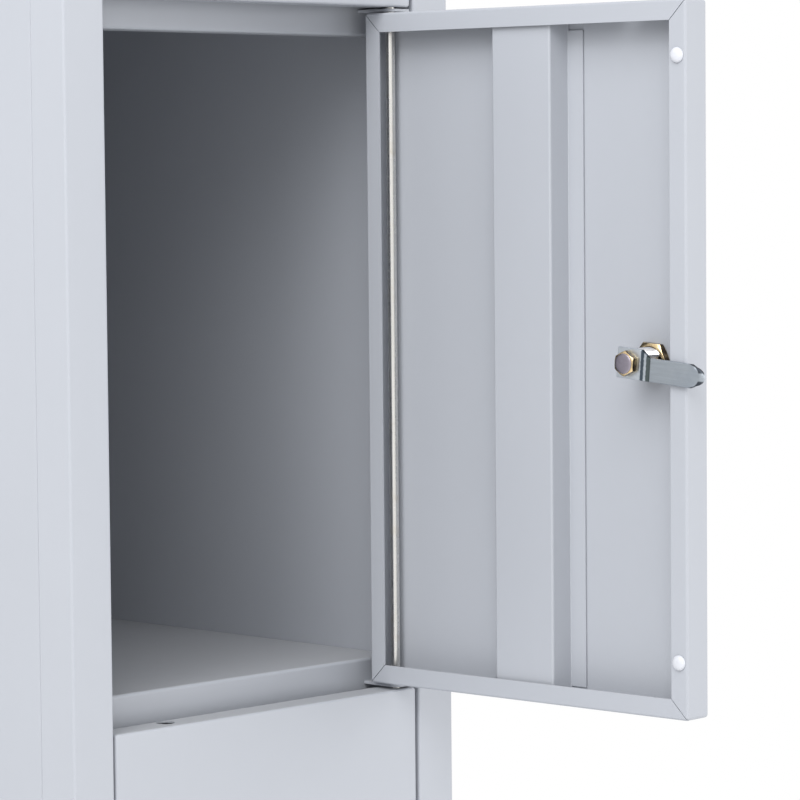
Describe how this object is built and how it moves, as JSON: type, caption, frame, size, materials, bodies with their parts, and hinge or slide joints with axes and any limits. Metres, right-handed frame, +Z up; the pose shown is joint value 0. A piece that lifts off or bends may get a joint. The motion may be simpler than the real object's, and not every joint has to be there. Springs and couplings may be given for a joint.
{
  "type": "parcel locker",
  "caption": "Tall narrow sheet-steel parcel locker with one column of hinged, cam-locked doors on a plinth, one door standing open.",
  "frame": {"origin": "on the floor under the centre of the cabinet, on the underside of the plinth crossbar", "axes": "+X to the right seen from the front, +Y from the front to the back, +Z up"},
  "size_m": [0.332, 0.7603, 1.85],
  "materials": {
    "painted_steel": "light grey powder coat, satin",
    "plinth_paint": "dark grey powder coat, satin",
    "zinc": "bright zinc plate",
    "cam_steel": "zinc-plated pressed steel",
    "brass": "machined",
    "chrome": "polished",
    "dark_bronze": "darkened zinc alloy",
    "white_nylon": "moulded"
  },
  "bodies": {
    "cabinet": {"base_tray": "painted_steel", "roof_tray": "painted_steel", "side_panel_left": "painted_steel", "side_panel_right": "painted_steel", "back_panel": "painted_steel", "stile_lock_side": "painted_steel", "stile_hinge_side": "painted_steel", "floor_shelf": "painted_steel", "head_rail": "painted_steel", "shelf_1": "painted_steel", "shelf_2": "painted_steel", "shelf_3": "painted_steel", "hinge_lug_1": "painted_steel", "hinge_lug_2": "painted_steel", "hinge_lug_3": "painted_steel", "hinge_lug_4": "painted_steel", "hinge_lug_5": "painted_steel", "plinth_frame": "plinth_paint", "plinth_crossbar": "plinth_paint", "hinge_rod": "zinc"},
    "door_1": {"door_1_panel": "painted_steel", "door_1_stiffener": "painted_steel", "door_1_lock_body": "chrome", "door_1_lock_nut": "brass", "door_1_buffer_top": "white_nylon", "door_1_buffer_bottom": "white_nylon"},
    "cam_1": {"door_1_lock_plug": "dark_bronze", "door_1_cam": "cam_steel", "door_1_cam_nut": "brass"},
    "door_2": {"door_2_panel": "painted_steel", "door_2_stiffener": "painted_steel", "door_2_lock_body": "chrome", "door_2_lock_nut": "brass", "door_2_buffer_top": "white_nylon", "door_2_buffer_bottom": "white_nylon"},
    "cam_2": {"door_2_lock_plug": "dark_bronze", "door_2_cam": "cam_steel", "door_2_cam_nut": "brass"},
    "door_3": {"door_3_panel": "painted_steel", "door_3_stiffener": "painted_steel", "door_3_lock_body": "chrome", "door_3_lock_nut": "brass", "door_3_buffer_top": "white_nylon", "door_3_buffer_bottom": "white_nylon"},
    "cam_3": {"door_3_lock_plug": "dark_bronze", "door_3_cam": "cam_steel", "door_3_cam_nut": "brass"},
    "door_4": {"door_4_panel": "painted_steel", "door_4_stiffener": "painted_steel", "door_4_lock_body": "chrome", "door_4_lock_nut": "brass", "door_4_buffer_top": "white_nylon", "door_4_buffer_bottom": "white_nylon"},
    "cam_4": {"door_4_lock_plug": "dark_bronze", "door_4_cam": "cam_steel", "door_4_cam_nut": "brass"}
  },
  "joints": [
    {"name": "door_1_hinge", "type": "hinge", "parent": "cabinet", "child": "door_1", "pos_m": [0.1204, -0.242, 0.284], "axis": [0, 0, 1], "range_deg": [0, 110]},
    {"name": "door_1_cam_turn", "type": "hinge", "parent": "door_1", "child": "cam_1", "pos_m": [-0.0924, -0.25, 0.2825], "axis": [0, 1, 0], "range_deg": [0, 90]},
    {"name": "door_2_hinge", "type": "hinge", "parent": "cabinet", "child": "door_2", "pos_m": [0.1204, -0.242, 0.728], "axis": [0, 0, 1], "range_deg": [0, 110]},
    {"name": "door_2_cam_turn", "type": "hinge", "parent": "door_2", "child": "cam_2", "pos_m": [-0.0924, -0.25, 0.7265], "axis": [0, 1, 0], "range_deg": [0, 90]},
    {"name": "door_3_hinge", "type": "hinge", "parent": "cabinet", "child": "door_3", "pos_m": [0.1204, -0.242, 1.172], "axis": [0, 0, 1], "range_deg": [-85, 18]},
    {"name": "door_3_cam_turn", "type": "hinge", "parent": "door_3", "child": "cam_3", "pos_m": [0.13582, -0.45439, 1.1705], "axis": [-0.9994, -0.0349, 0], "range_deg": [-85, 5]},
    {"name": "door_4_hinge", "type": "hinge", "parent": "cabinet", "child": "door_4", "pos_m": [0.1204, -0.242, 1.616], "axis": [0, 0, 1], "range_deg": [0, 110]},
    {"name": "door_4_cam_turn", "type": "hinge", "parent": "door_4", "child": "cam_4", "pos_m": [-0.0924, -0.25, 1.6145], "axis": [0, 1, 0], "range_deg": [0, 90]}
  ]
}
